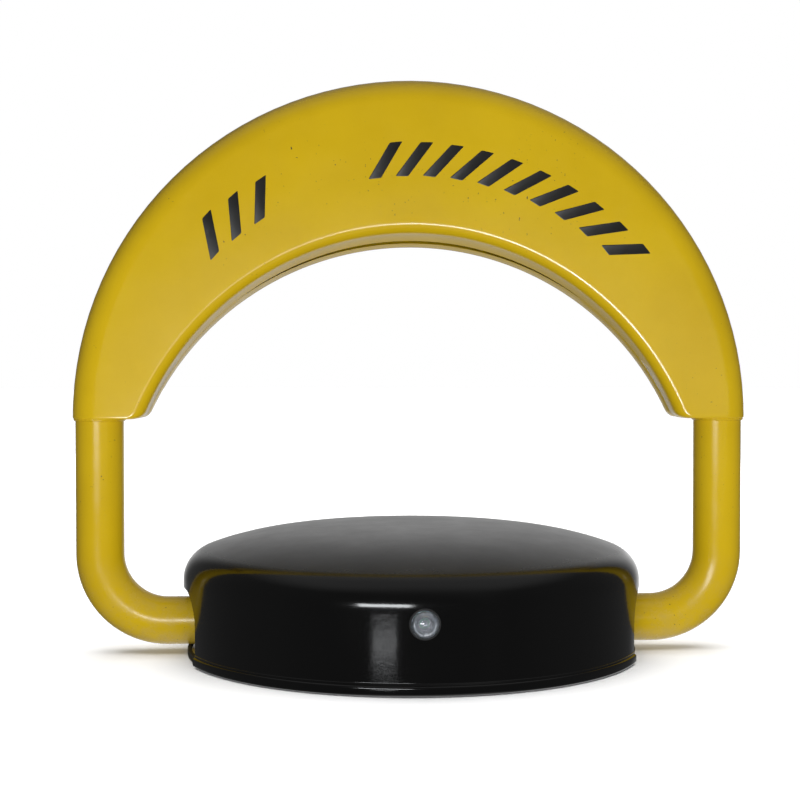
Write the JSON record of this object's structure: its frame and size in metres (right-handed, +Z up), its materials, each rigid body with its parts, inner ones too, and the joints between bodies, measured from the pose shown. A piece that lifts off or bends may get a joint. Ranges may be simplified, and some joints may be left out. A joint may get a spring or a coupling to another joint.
{
  "type": "folding parking lock",
  "caption": "Ground-mounted parking lock with a motor-driven arched hoop that folds flat in front of a round, key-locked base cover.",
  "frame": {"origin": "on the ground at the centre of the base plate's underside", "axes": "+Z up, X along the hoop axis, -Y towards the front, where the indicator lens is; the hoop folds towards -Y"},
  "size_m": [0.6, 0.4177, 0.508],
  "materials": {
    "painted_yellow": "gloss powder coat",
    "painted_black": "gloss black paint",
    "zinc": "zinc plated",
    "lock_chrome": "polished",
    "steel": "ground steel, oiled",
    "dark_steel": "blackened steel",
    "bronze": "sintered bronze",
    "cast_aluminium": "as cast",
    "black_plastic": "moulded",
    "grey_plastic": "moulded",
    "rubber": "matt",
    "black_lead": "smooth",
    "red_lead": "smooth",
    "brass": "plain",
    "board": "coated board",
    "lens": "clear polycarbonate"
  },
  "bodies": {
    "base": {"base_plate": "zinc", "bearing_bolt_1": "zinc", "bearing_bolt_2": "zinc", "bearing_bolt_3": "zinc", "bearing_bolt_4": "zinc", "battery_strap": "zinc", "strap_bolt_1": "zinc", "strap_bolt_2": "zinc", "sensor_bracket": "zinc", "lock_catch": "zinc", "motor_can": "dark_steel", "bearing_bush_left": "bronze", "bearing_bush_right": "bronze", "bearing_block_left": "cast_aluminium", "bearing_block_right": "cast_aluminium", "gearbox_housing": "cast_aluminium", "gearbox_lid": "cast_aluminium", "motor_end_cap": "black_plastic", "motor_saddle": "black_plastic", "battery_case": "black_plastic", "alarm_buzzer": "black_plastic", "position_sensor_up": "black_plastic", "position_sensor_down": "black_plastic", "control_box": "grey_plastic", "control_box_lid": "grey_plastic", "cover_seal": "rubber", "motor_lead": "black_lead", "battery_lead_minus": "black_lead", "battery_lead_plus": "red_lead", "battery_terminal_minus": "brass", "battery_terminal_plus": "brass", "circuit_board": "board"},
    "cover": {"cover": "painted_black", "indicator_lens": "lens", "lens_gasket": "rubber", "indicator_led": "board", "lens_nut": "black_plastic", "lock_body": "lock_chrome", "lock_nut": "zinc"},
    "key": {"lock_plug": "brass", "lock_cam": "zinc"},
    "drive": {"drive_gear": "steel", "buffer_spring": "steel"},
    "output": {"pinion": "dark_steel", "output_shaft": "steel"},
    "hoop": {"hoop_tube": "painted_yellow", "arch_front_shell": "painted_yellow", "arch_rear_shell": "painted_yellow", "main_shaft": "steel", "striker_collar": "dark_steel", "magnet_collar": "black_plastic", "tube_plug_left": "zinc", "tube_plug_right": "zinc", "cross_pin_left": "steel", "cross_pin_right": "steel", "rear_screw_1": "zinc", "rear_screw_2": "zinc", "rear_screw_3": "zinc", "rear_screw_4": "zinc"}
  },
  "joints": [
    {"name": "arm_drive", "type": "hinge", "parent": "base", "child": "drive", "pos_m": [0, 0, 0.028], "axis": [1, 0, 0], "range_deg": [0, 90]},
    {"name": "buffer_flex", "type": "hinge", "parent": "drive", "child": "hoop", "pos_m": [0, 0, 0.028], "axis": [1, 0, 0], "range_deg": [-20, 0], "stiffness_Nm_per_rad": 120, "deforming": ["buffer_spring"]},
    {"name": "pinion_spin", "type": "hinge", "parent": "base", "child": "output", "pos_m": [0, -0.03, 0.028], "axis": [1, 0, 0], "range_deg": [-168, 0]},
    {"name": "cover_lift", "type": "slide", "parent": "base", "child": "cover", "axis": [0, 0, 1], "range_m": [0, 0.15]},
    {"name": "lock_turn", "type": "hinge", "parent": "cover", "child": "key", "pos_m": [0, 0.2025, 0.045], "axis": [0, -1, 0], "range_deg": [0, 90]}
  ],
  "couplings": [
    {"joint": "pinion_spin", "follows": "arm_drive", "ratio": -1.8571}
  ]
}
